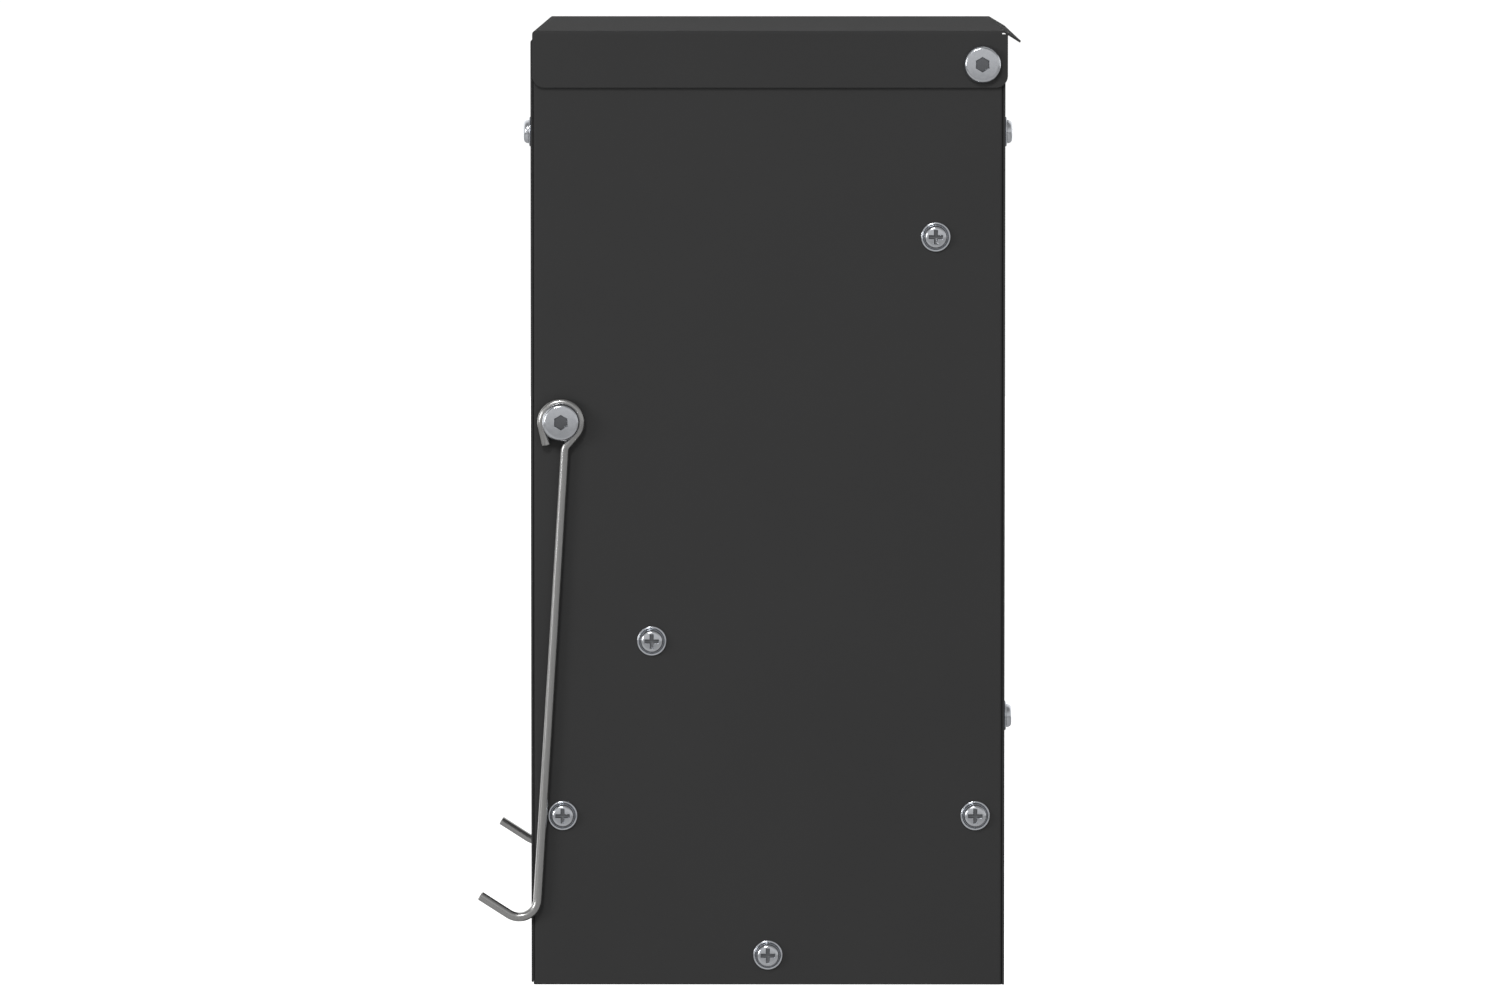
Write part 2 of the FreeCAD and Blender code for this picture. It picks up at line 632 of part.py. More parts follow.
def make_lock():
    """Cam lock in the door: barrel, ring nut, turning plug, cam and the screw that holds it."""
    centre = (LOCK_X, D["lock_height"])
    bore = D["plug_radius"] + D["running_clearance"]
    barrel = new_body("lock_barrel")
    flange_face = DOOR_FACE - D["barrel_flange"]
    add_disc(barrel, "XZ", flange_face, D["barrel_flange"], centre, D["barrel_flange_radius"], bore)
    add_disc(barrel, "XZ", DOOR_FACE, BARREL_END - DOOR_FACE, centre, D["barrel_radius"], bore)
    nut = new_body("lock_nut")
    sketch = new_sketch(nut, "XZ", DOOR_INNER)
    draw_outline(sketch, hexagon(centre, D["lock_nut_radius"]))
    draw_circle(sketch, *centre, D["barrel_radius"])
    add_pad(nut, sketch, "XZ", D["lock_nut_height"])
    plug = new_body("lock_plug")
    plug_face = flange_face + 0.4
    add_disc(plug, "XZ", plug_face, CAM_START - plug_face, centre, D["plug_radius"])
    add_disc(plug, "XZ", CAM_START, D["cam_thickness"], centre, D["plug_radius"] * 0.6)
    slot = box_outline(LOCK_X - 0.6, LOCK_X + 0.6, D["lock_height"] - 2.8, D["lock_height"] + 2.8)
    cut_through(plug, "XZ", plug_face, 3.0, [slot])
    cam = new_body("lock_cam")
    wide = D["cam_width"] / 2
    blade = box_outline(LOCK_X - wide, LOCK_X + wide, D["lock_height"] - D["cam_length"],
                        D["lock_height"] + wide)
    add_plate(cam, "XZ", CAM_START, D["cam_thickness"], blade, [(*centre, D["plug_radius"] * 0.6)])
    round_edges(cam, wide * 0.8, lambda spot, way, length: along_y(way))
    screw = new_body("cam_screw")
    add_disc(screw, "XZ", CAM_END, 1.8, centre, D["plug_radius"])
    return [barrel, nut, plug, cam, screw]


def hexagon(centre, radius):
    """Corners of a hexagon, the first on the upward axis."""
    corners = []
    for step in range(6):
        angle = math.radians(60 * step + 30)
        corners.append((centre[0] + radius * math.cos(angle), centre[1] + radius * math.sin(angle)))
    return corners


def make_bumpers():
    """Two rubber bumpers on the front panel hem, just under the closed lid."""
    pieces = []
    for name, side in SIDES.items():
        bumper = DOC.addObject("Part::Cylinder", f"bumper_{name}")
        bind(bumper, "Radius", D["bumper_radius"])
        bind(bumper, "Height", D["bumper_height"])
        bind(bumper, "Placement.Base.x", (HALF - D["flange_width"] - D["bumper_inset"]) * side)
        bind(bumper, "Placement.Base.y", FRONT_INNER + D["hem_width"] / 2)
        bind(bumper, "Placement.Base.z", FRONT_TOP + LOWERED)
        pieces.append(bumper)
    return group("lid_bumpers", pieces)


def group(label, pieces):
    """One node that holds several equal, separate solids."""
    compound = DOC.addObject("Part::Compound", label)
    compound.Label = label
    compound.Links = pieces
    return compound


def make_prototype(label):
    """A body drawn on its own axis, used only through links."""
    body = DOC.addObject("PartDesign::Body", label)
    body.Label = label
    return body


def make_screw(label, head_radius, head_height, rim, radius, length, seat, recess, recess_depth):
    """Round headed screw: the head stands on height seat and the shank runs down from it."""
    body = make_prototype(label)
    add_disc(body, "XY", seat, head_height, (0, 0), head_radius)
    add_disc(body, "XY", seat - length, length, (0, 0), radius)
    DOC.recompute()
    top = seat + head_height
    edges = [f"Edge{number}" for number, edge in enumerate(body.Shape.Edges, start=1)
             if isinstance(edge.Curve, Part.Circle) and near(edge.Curve.Center.z, top)]
    base = body.Tip
    dome = body.newObject("PartDesign::Fillet", f"{body.Name}_rim")
    dome.Base = (base, edges)
    bind(dome, "Radius", rim)
    cut_through(body, "XY", top - recess_depth, recess_depth, [recess])
    return body


def cross_outline():
    """Outline of a cross recess with slightly tapered arms."""
    reach = D["cross_reach"]
    wide = D["cross_width"] / 2
    narrow = wide * 0.8
    quarter = [(wide, wide), (reach, narrow), (reach, -narrow)]
    points = []
    for _ in range(4):
        points += quarter
        quarter = [(Size.of(v), -Size.of(u)) for u, v in quarter]
    return points


def make_ring(label, start, height, radius, bore):
    body = make_prototype(label)
    add_disc(body, "XY", start, height, (0, 0), radius, bore)
    return body


def make_nut(label, top, height, radius, bore):
    """Hexagon nut under height top."""
    body = make_prototype(label)
    sketch = new_sketch(body, "XY", top - height)
    draw_outline(sketch, hexagon((Size.of(0), Size.of(0)), radius))
    draw_circle(sketch, 0, 0, bore)
    add_pad(body, sketch, "XY", height)
    return body


def place_link(name, source, spot, way):
    """A copy of a prototype with its axis along way, at spot measured from the underside."""
    link = DOC.addObject("App::Link", name)
    link.LinkedObject = source
    link.Placement = Placement(Vector(), Rotation(Vector(0, 0, 1), way))
    for axis, size in zip("xyz", (spot[0], spot[1], Size.of(spot[2]) + LOWERED)):
        bind(link, f"Placement.Base.{axis}", size)
    return link


def fasten(label, source, spots):
    """A group of copies of one fastener: spots holds (place, outward direction)."""
    links = [place_link(f"{label}_{number}", source, *spot) for number, spot in enumerate(spots, start=1)]
    return group(label, links)


def outward(side):
    return Vector(side, 0, 0)


def make_small_fasteners():
    """Small screws, washers and nuts in the side, front and back panels."""
    washer = D["washer_thickness"]
    depth = SHEET * 2
    radius = D["screw_radius"]
    screw = make_screw("small_screw", D["screw_head_radius"], D["screw_head_height"], D["screw_rim"],
                       radius, D["screw_length"], washer, cross_outline(), D["cross_depth"])
    ring = make_ring("small_washer", 0, washer, D["washer_radius"], radius)
    nut = make_nut("small_nut", -depth, D["nut_height"], D["nut_radius"], radius)
    sets = {f"side_{{}}_{name}": [((HALF * side, y, z), outward(side)) for y, z in SIDE_SCREWS]
            for name, side in SIDES.items()}
    front, rear = [], []
    for side in SIDES.values():
        x = FACE_SCREW_X * side
        front.append(((x, FRONT, D["face_screw_high"]), Vector(0, -1, 0)))
        rear.append(((x, Size.of(0), D["face_screw_high"]), Vector(0, 1, 0)))
        rear.append(((x, Size.of(0), D["face_screw_low"]), Vector(0, 1, 0)))
    sets["front_{}"] = front
    sets["rear_{}"] = rear
    nodes = []
    for pattern, spots in sets.items():
        for kind, source in (("screws", screw), ("washers", ring), ("nuts", nut)):
            nodes.append(fasten(pattern.format(kind), source, spots))
    return nodes


def make_pivot_fasteners():
    """Pivot screws, bushes and nuts of the lid and of the two hooks."""
    radius = D["pivot_screw_radius"]
    lid_length = D["skirt_gap"] + SHEET + D["side_play"]
    hook_length = D["wire_radius"] * 2 + D["side_play"] * 2
    pivots = {"lid_pivot": (PIVOT_Y, PIVOT_Z, lid_length, D["lid_bush_radius"]),
              "hook_pivot": (HOOK_Y, HOOK_Z, hook_length,
                             D["loop_radius"] - D["wire_radius"] - D["running_clearance"])}
    socket = [(up, across) for across, up in hexagon((Size.of(0), Size.of(0)), D["socket_radius"])]
    nodes = []
    for name, (y, z, length, bush_radius) in pivots.items():
        screw = make_screw(f"{name}_screw", D["pivot_head_radius"], D["pivot_head_height"],
                           D["pivot_rim"], radius, D["pivot_screw_length"], length, socket,
                           D["socket_depth"])
        bush = make_ring(f"{name}_bush", 0, length, bush_radius, radius)
        nut = make_nut(f"{name}_nut", -SHEET, D["pivot_nut_height"], D["pivot_nut_radius"], radius)
        spots = [((HALF * side, y, z), outward(side)) for side in SIDES.values()]
        for kind, source in (("screws", screw), ("bushes", bush), ("nuts", nut)):
            nodes.append(fasten(f"{name}_{kind}", source, spots))
    return nodes


def build():
    """Every node of the mailbox."""
    nodes = [make_front_panel(), make_back_panel(), make_bottom_panel(), make_baffle(), make_lid()]
    for name, side in SIDES.items():
        nodes.append(make_side_panel(name, side))
        nodes.append(make_hook(name, side))
    nodes += [make_door(), make_hinge_pin(), make_bumpers()]
    nodes += make_lock()
    nodes += make_small_fasteners()
    nodes += make_pivot_fasteners()
    return nodes


def check_and_write(nodes):
    """Stops on any failed object or bad shape, then writes one STEP file for each node."""
    DOC.recompute()
    for item in DOC.Objects:
        if any(word in ("Invalid", "Error") for word in item.State):
            raise RuntimeError(f"{item.Label}: {item.State}")
    for node in nodes:
        if node.Shape.isNull() or not node.Shape.isValid():
            raise RuntimeError(f"{node.Label}: bad shape")
    os.makedirs("parts", exist_ok=True)
    for node in nodes:
        node.Shape.exportStep(f"parts/{node.Label}.step")
        box = node.Shape.BoundBox
        print(f"{node.Label:24s} solids {len(node.Shape.Solids)} volume {node.Shape.Volume:10.1f} "
              f"x {box.XMin:8.2f} {box.XMax:8.2f} y {box.YMin:8.2f} {box.YMax:8.2f} "
              f"z {box.ZMin:8.2f} {box.ZMax:8.2f}")


check_and_write(build())
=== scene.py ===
"""Wall mounted mailbox: finishes, turned fasteners, bent hooks and a studio round the frame."""

import logging
import math
from dataclasses import dataclass, field, replace
from enum import Enum

import bmesh
import bpy
import numpy as np
from mathutils import Matrix, Vector


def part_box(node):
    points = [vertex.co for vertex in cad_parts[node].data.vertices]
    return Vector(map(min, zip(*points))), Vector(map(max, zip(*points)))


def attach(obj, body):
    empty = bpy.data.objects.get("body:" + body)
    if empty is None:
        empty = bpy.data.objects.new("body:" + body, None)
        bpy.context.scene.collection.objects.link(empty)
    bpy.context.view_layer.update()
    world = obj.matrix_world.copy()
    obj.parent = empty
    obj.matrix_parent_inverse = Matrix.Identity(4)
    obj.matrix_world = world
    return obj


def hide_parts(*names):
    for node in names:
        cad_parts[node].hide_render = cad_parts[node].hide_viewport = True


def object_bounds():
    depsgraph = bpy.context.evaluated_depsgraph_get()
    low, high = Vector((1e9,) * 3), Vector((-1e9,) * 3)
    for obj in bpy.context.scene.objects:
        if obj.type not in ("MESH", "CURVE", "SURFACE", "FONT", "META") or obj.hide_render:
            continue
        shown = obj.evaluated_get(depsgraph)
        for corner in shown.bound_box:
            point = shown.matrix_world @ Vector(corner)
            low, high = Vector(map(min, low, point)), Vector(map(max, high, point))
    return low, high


LOG = logging.getLogger("mailbox")
MM = 0.001
WELD = 1e-6            # vertices of one CAD solid closer than this, in metres, are one
SHARP = math.radians(38)
PIN_HOLE = 1e-4        # radius in millimetres left at the middle of a turned face
FULL_SHADE = 0.45      # share of a drive's depth at which its painted shade is full
MIX_LOW, MIX_HIGH, MIX_COLOUR = 6, 7, 2   # colour sockets of a Mix node
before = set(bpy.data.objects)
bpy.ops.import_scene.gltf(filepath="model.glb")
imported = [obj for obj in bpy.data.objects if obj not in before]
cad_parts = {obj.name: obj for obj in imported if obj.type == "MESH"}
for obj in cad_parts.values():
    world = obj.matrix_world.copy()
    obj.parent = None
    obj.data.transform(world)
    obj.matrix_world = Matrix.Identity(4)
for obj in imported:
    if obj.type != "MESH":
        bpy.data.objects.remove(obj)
CAD_LOW, CAD_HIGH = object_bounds()
Colour = tuple[float, float, float]


class Side(Enum):
    """The two sides of the box, as the sign of X."""

    LEFT = -1
    RIGHT = 1

    @property
    def word(self) -> str:
        """The side's name as the nodes spell it."""
        return self.name.lower()


class Recess(Enum):
    """Drive shapes sunk into a screw head."""

    CROSS = "cross"
    HEXAGON = "hexagon"


DRIVE_WALL = {Recess.CROSS: 0.2, Recess.HEXAGON: 0.16}   # width of the sloping wall, millimetres


# ---------------------------------------------------------------- shader groups


def grain_group() -> bpy.types.ShaderNodeTree:
    """Builds the shared grain: two layers of noise in object space.

    Returns:
        A node group with inputs Fine and Broad, the two scales per metre, and outputs Height,
        the fine relief, and Cloud, the slow variation, both from 0 to 1.
    """
    tree = bpy.data.node_groups.new("grain", "ShaderNodeTree")
    for name, value in (("Fine", 900.0), ("Broad", 8.0)):
        socket = tree.interface.new_socket(name, in_out="INPUT", socket_type="NodeSocketFloat")
        socket.default_value = value
    for name in ("Height", "Cloud"):
        tree.interface.new_socket(name, in_out="OUTPUT", socket_type="NodeSocketFloat")
    enter = tree.nodes.new("NodeGroupInput")
    leave = tree.nodes.new("NodeGroupOutput")
    place = tree.nodes.new("ShaderNodeTexCoord")
    for scale_name, out_name, detail in (("Fine", "Height", 3.0), ("Broad", "Cloud", 4.0)):
        noise = tree.nodes.new("ShaderNodeTexNoise")
        noise.inputs["Detail"].default_value = detail
        tree.links.new(place.outputs["Object"], noise.inputs["Vector"])
        tree.links.new(enter.outputs[scale_name], noise.inputs["Scale"])
        tree.links.new(noise.outputs["Fac"], leave.inputs[out_name])
    return tree


def streak_group() -> bpy.types.ShaderNodeTree:
    """Builds fine streaks that run along one axis of the piece, as drawing or turning leaves them.

    Returns:
        A node group with a vector input Stretch and an output Streak from 0 to 1.
    """
    tree = bpy.data.node_groups.new("streaks", "ShaderNodeTree")
    socket = tree.interface.new_socket("Stretch", in_out="INPUT", socket_type="NodeSocketVector")
    socket.default_value = (1.0, 1.0, 1.0)
    tree.interface.new_socket("Streak", in_out="OUTPUT", socket_type="NodeSocketFloat")
    enter = tree.nodes.new("NodeGroupInput")
    leave = tree.nodes.new("NodeGroupOutput")
    place = tree.nodes.new("ShaderNodeTexCoord")
    scale = tree.nodes.new("ShaderNodeVectorMath")
    scale.operation = "MULTIPLY"
    noise = tree.nodes.new("ShaderNodeTexNoise")
    noise.inputs["Scale"].default_value = 1.0
    noise.inputs["Detail"].default_value = 4.0
    tree.links.new(place.outputs["Object"], scale.inputs[0])
    tree.links.new(enter.outputs["Stretch"], scale.inputs[1])
    tree.links.new(scale.outputs["Vector"], noise.inputs["Vector"])
    tree.links.new(noise.outputs["Fac"], leave.inputs["Streak"])
    return tree


@dataclass(frozen=True)
class Finish:
    """One surface finish: a colour and a roughness that drift a little, with fine relief, and for
    some a painted shade in sunk parts.

    Attributes:
        name: The material's name.
        dark: Colour where the slow variation is low.
        light: Colour where it is high.
        rough_low: Least roughness.
        rough_high: Most roughness.
        metal: Metallic share.
        fine: Fine grain, in cycles per metre.
        broad: Slow variation, in cycles per metre.
        relief: Height of the fine grain in metres.
        streaks: Stretch of the streak pattern per axis, or None for grain.
        specular: Strength of the reflection head on, where 0.5 is a common plastic.
        painted_shade: How far sunk parts are made dark with painted shade, from 0 to 1, by the
            attribute named cavity.
    """

    name: str
    dark: Colour
    light: Colour
    rough_low: float
    rough_high: float
    metal: float = 0.0
    fine: float = 900.0
    broad: float = 8.0
    relief: float = 0.00002
    streaks: Colour | None = None
    specular: float = 0.5
    painted_shade: float = 0.0

    def paint_shade(self, made: bpy.types.Material,
                 colour: bpy.types.NodeSocket) -> bpy.types.NodeSocket:
        """Paints shade into a colour where the mesh's cavity attribute says the surface is sunk:
        this is painted shade, not a colour of the metal.

        Args:
            made: The material that is being built.
            colour: The colour to darken.

        Returns:
            The socket of the colour with its painted shade.
        """
        nodes, links = made.node_tree.nodes, made.node_tree.links
        # painted shade: the sunk share from the mesh attribute mixes the colour towards SHADE
        sunk = nodes.new("ShaderNodeAttribute")
        sunk.attribute_name = "painted_shade"
        share = nodes.new("ShaderNodeMapRange")
        share.inputs["To Max"].default_value = self.painted_shade
        links.new(sunk.outputs["Fac"], share.inputs["Value"])
        mix = nodes.new("ShaderNodeMix")
        mix.data_type = "RGBA"
        mix.inputs[MIX_HIGH].default_value = (*SHADE, 1.0)
        links.new(share.outputs["Result"], mix.inputs[0])
        links.new(colour, mix.inputs[MIX_LOW])
        return mix.outputs[MIX_COLOUR]

    def material(self, groups: dict[str, bpy.types.ShaderNodeTree]) -> bpy.types.Material:
        """Builds the material.

        Args:
            groups: The shared shader groups, by name.

        Returns:
            The finished material.
        """
        made = bpy.data.materials.new(self.name)
        made.use_nodes = True
        nodes, links = made.node_tree.nodes, made.node_tree.links
        shader = nodes["Principled BSDF"]
        shader.inputs["Metallic"].default_value = self.metal
        shader.inputs["Specular IOR Level"].default_value = self.specular
        grain = nodes.new("ShaderNodeGroup")
        grain.node_tree = groups["grain"]
        grain.inputs["Fine"].default_value = self.fine
        grain.inputs["Broad"].default_value = self.broad
        mask, height = grain.outputs["Cloud"], grain.outputs["Height"]
        if self.streaks is not None:
            lines = nodes.new("ShaderNodeGroup")
            lines.node_tree = groups["streaks"]
            lines.inputs["Stretch"].default_value = self.streaks
            mask = height = lines.outputs["Streak"]
        colour = nodes.new("ShaderNodeMix")
        colour.data_type = "RGBA"
        colour.inputs[MIX_LOW].default_value = (*self.dark, 1.0)
        colour.inputs[MIX_HIGH].default_value = (*self.light, 1.0)
        links.new(mask, colour.inputs[0])
        shown = colour.outputs[MIX_COLOUR]
        if self.painted_shade > 0.0:
            shown = self.paint_shade(made, shown)
        links.new(shown, shader.inputs["Base Color"])
        rough = nodes.new("ShaderNodeMapRange")
        rough.inputs["To Min"].default_value = self.rough_low
        rough.inputs["To Max"].default_value = self.rough_high
        links.new(mask, rough.inputs["Value"])
        links.new(rough.outputs["Result"], shader.inputs["Roughness"])
        bump = nodes.new("ShaderNodeBump")
        bump.inputs["Distance"].default_value = self.relief
        bump.inputs["Strength"].default_value = 0.6
        links.new(height, bump.inputs["Height"])
        links.new(bump.outputs["Normal"], shader.inputs["Normal"])
        return made


# SHADE: the colour of the painted shade in the sunk parts of screws and washers
SHADE: Colour = (0.03, 0.032, 0.036)
POWDER = Finish("powder_coat", (0.060, 0.060, 0.0602), (0.067, 0.067, 0.0672), 0.66, 0.76,
                fine=1600.0, broad=14.0, relief=0.000015, specular=0.01)
# The zinc's sunk parts get painted shade, at most 0.75 of the way to SHADE.
ZINC = Finish("bright_zinc_with_painted_shade", (0.76, 0.79, 0.84), (0.92, 0.94, 0.98), 0.13, 0.26, metal=1.0,
              fine=2500.0, broad=700.0, relief=0.000006, painted_shade=0.75)
WIRE = Finish("drawn_wire", (0.50, 0.497, 0.49), (0.62, 0.617, 0.61), 0.20, 0.30, metal=1.0,
              relief=0.000008, streaks=(1800.0, 1800.0, 60.0))
PLATING = Finish("lock_plating", (0.55, 0.55, 0.56), (0.70, 0.70, 0.71), 0.14, 0.24, metal=1.0,
                 fine=3000.0, broad=200.0, relief=0.000004)
RUBBER = Finish("bumper_rubber", (0.012, 0.012, 0.012), (0.022, 0.022, 0.022), 0.75, 0.9)


# ---------------------------------------------------------------- meshes from arrays


def surface(name: str, points: np.ndarray, close_rows: bool, caps: bool,
            painted_shade: np.ndarray | None = None) -> bpy.types.Mesh:
    """Makes a mesh from a grid of points whose columns run round a closed loop.

    Args:
        name: The mesh's name.
        points: Array of rows by columns by three, in metres. Each row is one loop.
        close_rows: True where the last row joins the first.
        caps: True to close the first and last row with a face.
        painted_shade: How sunk each point is, from 0 to 1, which sets its painted shade, as rows by
            columns, or None for not at all.

    Returns:
        The mesh, with smooth faces that point outwards for loops that turn the right way.
    """
    rows, columns = points.shape[:2]
    upper = rows if close_rows else rows - 1
    i, j = np.meshgrid(np.arange(upper), np.arange(columns), indexing="ij")
    next_i, next_j = (i + 1) % rows, (j + 1) % columns
    corners = [i * columns + j, i * columns + next_j,
               next_i * columns + next_j, next_i * columns + j]
    faces = np.stack(corners, axis=-1).reshape(-1, 4).tolist()
    if caps:
        faces.append(list(range(columns))[::-1])
        faces.append(list(range((rows - 1) * columns, rows * columns)))
    mesh = bpy.data.meshes.new(name)
    mesh.from_pydata(points.reshape(-1, 3).tolist(), [], faces)
    mesh.polygons.foreach_set("use_smooth", np.ones(len(mesh.polygons), dtype=bool))
    # the mesh attribute that carries painted shade to the materials
    layer = mesh.attributes.new("painted_shade", "FLOAT", "POINT")
    sunk = np.zeros((rows, columns)) if painted_shade is None else painted_shade
    layer.data.foreach_set("value", sunk.ravel().astype(np.float32))
    mesh.update()
    return mesh


def join(name: str, meshes: list[bpy.types.Mesh]) -> bpy.types.Object:
    """Joins meshes into one object at the origin, with its faces pointing outwards.

    Args:
        name: The object's name.
        meshes: The meshes, already in place.

    Returns:
        The object, linked to the scene.
    """
    whole = bmesh.new()
    for mesh in meshes:
        whole.from_mesh(mesh)
    bmesh.ops.remove_doubles(whole, verts=whole.verts, dist=WELD * 0.01)
    bmesh.ops.recalc_face_normals(whole, faces=whole.faces)
    joined = bpy.data.meshes.new(name)
    whole.to_mesh(joined)
    whole.free()
    joined.polygons.foreach_set("use_smooth", np.ones(len(joined.polygons), dtype=bool))
    joined.update()
    piece = bpy.data.objects.new(name, joined)
    bpy.context.scene.collection.objects.link(piece)
    joined.set_sharp_from_angle(angle=SHARP)
    return piece


def smoothstep(value: np.ndarray) -> np.ndarray:
    """Rises from 0 to 1 as value goes from 0 to 1, level at both ends.

    Args:
        value: Where to read the curve, three times the square less twice the cube.

    Returns:
        The curve's height, from 0 to 1.
    """
    inside = np.clip(value, 0.0, 1.0)
    return inside * inside * (3.0 - 2.0 * inside)


def turned(centre: Vector, axis: Vector, points: np.ndarray) -> np.ndarray:
    """Puts points drawn round +Z where a fastener sits.

    Args:
        centre: Where the drawing's origin goes.
        axis: Where the drawing's +Z points. The drawing's +Y stays as upright as it can.
        points: Array whose last axis is three long.

    Returns:
        The points in the frame.
    """
    forward = axis.normalized()
    upright = Vector((0, 0, 1))
    across = upright.cross(forward)
    basis = np.array([across, upright, forward]).T
    return points @ basis.T + np.array(centre)


@dataclass(frozen=True)
class Screw:
    """A round headed screw, as one closed surface of revolution with a drive sunk into it.

    Sizes are in millimetres, and heights are above the panel.

    Attributes:
        head_radius: Widest part of the head.
        head_height: From the head's underside to its face.
        rim: Width of the rounded rim.
        shank_radius: Over the thread.
        length: From the head's underside to the screw's end.
        seat: Height of the head's underside.
        recess: The drive's shape.
        reach: From the middle to the end of a cross bar, or to a corner of the hexagon.
        width: Across a cross bar.
        depth: Of the drive.
        crown: How much higher the face is at its middle than at the rim.
        skirt: Height of the head's straight edge under the rim.
        pitch: Of the thread.
        thread: Depth of the thread.
        face_rows: Loops over the face.
        columns: Points in each loop.
    """

    head_radius: float
    head_height: float
    rim: float
    shank_radius: float
    length: float
    seat: float
    recess: Recess
    reach: float
    width: float
    depth: float
    crown: float = 0.12
    skirt: float = 0.25
    pitch: float = 0.8
    thread: float = 0.35
    face_rows: int = 42
    columns: int = 112

    def profile(self) -> tuple[np.ndarray, np.ndarray]:
        """Radius and height along the outline, from the middle of the head to the screw's end.

        Returns:
            Two arrays: the face is a shallow crown, the rim a quarter ellipse, then the
            underside runs in to the shank and down to a chamfered end.
        """
        flat = self.head_radius - self.rim
        face_r = np.linspace(0.0, flat, self.face_rows) + PIN_HOLE
        face_z = self.seat + self.head_height - self.crown * (face_r / flat) ** 2
        turn = np.linspace(0.0, math.pi / 2, 14)[1:]
        drop = self.head_height - self.crown - self.skirt
        rim_r = flat + self.rim * np.sin(turn)
        rim_z = self.seat + self.skirt + drop * np.cos(turn)
        lower_r = np.array([self.head_radius, self.head_radius - 0.2, self.shank_radius])
        lower_z = np.array([self.seat + 0.15, self.seat, self.seat])
        down = np.linspace(self.seat - 0.05, self.seat - self.length + 0.6, 90)
        end_r = np.array([self.shank_radius - 0.5, PIN_HOLE])
        end_z = np.array([self.seat - self.length, self.seat - self.length])
        shank_r = np.full(down.shape, self.shank_radius)
        radius = np.concatenate([face_r, rim_r, lower_r, shank_r, end_r])
        height = np.concatenate([face_z, rim_z, lower_z, down, end_z])
        return radius, height

    def sunk(self, x: np.ndarray, y: np.ndarray) -> np.ndarray:
        """Depth of the drive below the face at each point.

        Args:
            x: Across, in millimetres.
            y: Up, in millimetres.

        Returns:
            The depth. A cross is the union of two bars, with a cone at its middle, and a
            hexagon is the space inside six straight walls, with a vertex on top.
        """
        if self.recess is Recess.CROSS:
            bar_x = np.maximum(np.abs(x) - self.reach, np.abs(y) - self.width / 2)
            bar_y = np.maximum(np.abs(y) - self.reach, np.abs(x) - self.width / 2)
            outside = np.minimum(bar_x, bar_y)
            reach = np.hypot(x, y) / self.reach
            depth = self.depth * (1.15 - 0.75 * np.clip(reach, 0.0, 1.0))
        else:
            flat = self.reach * math.cos(math.radians(30))
            angles = np.radians([0.0, 60.0, 120.0])
            across = [np.abs(x * math.cos(a) + y * math.sin(a)) for a in angles]
            outside = np.max(across, axis=0) - flat
            depth = np.full(x.shape, self.depth)
        return depth * smoothstep(-outside / DRIVE_WALL[self.recess])

    def points(self) -> np.ndarray:
        """The screw's surface: the outline turned about Z, less the drive, with a helical thread.

        Returns:
            A grid of points in millimetres, one row for each place on the outline, with the
            sunk share of each point, from 0 to 1, as its fourth value, which sets its painted
            shade.
        """
        radius, height = self.profile()
        angle = np.linspace(0.0, 2 * math.pi, self.columns, endpoint=False)
        r = np.repeat(radius[:, None], self.columns, axis=1)
        z = np.repeat(height[:, None], self.columns, axis=1)
        below = (z < self.seat - 0.4) & (z > self.seat - self.length + 0.5)
        phase = (z / self.pitch - angle[None, :] / (2 * math.pi)) % 1.0
        r = np.where(below, r - self.thread * (0.5 - np.abs(phase - 0.5)), r)
        x, y = r * np.cos(angle), r * np.sin(angle)
        on_face = (np.arange(len(radius)) < self.face_rows)[:, None]
        drop = np.where(on_face, self.sunk(x, y), 0.0)
        # fourth value: painted shade in the drive, growing with its depth
        return np.stack([x, y, z - drop, smoothstep(drop / (FULL_SHADE * self.depth))], axis=-1)


@dataclass(frozen=True)
class Washer:
    """A dished washer: a flat ring with a raised, rounded rim.

    Attributes:
        radius: Of the ring, in millimetres, as the rest.
        bore: Radius of its hole.
        thickness: Over the rim.
        lip: Width of the rim.
        chamfer: At the foot of the rim.
        dish: Height of the sunk part, as a share of the thickness.
        shade: How far the sunk part gets painted shade.
        columns: Points in each loop.
    """

    radius: float
    bore: float
    thickness: float
    lip: float = 0.75
    chamfer: float = 0.12
    dish: float = 0.55
    shade: float = 0.85
    columns: int = 96

    def points(self) -> np.ndarray:
        """The ring's closed outline turned about Z: floor, rounded lip, dish and bore.

        Returns:
            A grid of points in millimetres, with the sunk share of each as its fourth value, which
            is its painted shade.
        """
        turn = np.linspace(-math.pi / 2, math.pi / 2, 7)
        half = self.lip / 2
        lip_r = self.radius - half + half * np.cos(turn)
        lip_z = self.thickness - half + half * np.sin(turn)
        dish = self.thickness * self.dish
        inner = self.radius - self.lip
        radius = np.concatenate([[self.bore, self.radius - self.chamfer, self.radius], lip_r,
                                 [inner, inner - 0.2, self.bore]])
        height = np.concatenate([[0.0, 0.0, self.chamfer], lip_z,
                                 [self.thickness - 0.1, dish, dish]])
        angle = np.linspace(0.0, 2 * math.pi, self.columns, endpoint=False)
        x = radius[:, None] * np.cos(angle)
        y = radius[:, None] * np.sin(angle)
        z = np.repeat(height[:, None], self.columns, axis=1)
        # painted shade on the dish inside the lip, where the head sits
        shade = np.where((radius < inner) & (height > 0.0), self.shade, 0.0)
        return np.stack([x, y, z, np.repeat(shade[:, None], self.columns, axis=1)], axis=-1)


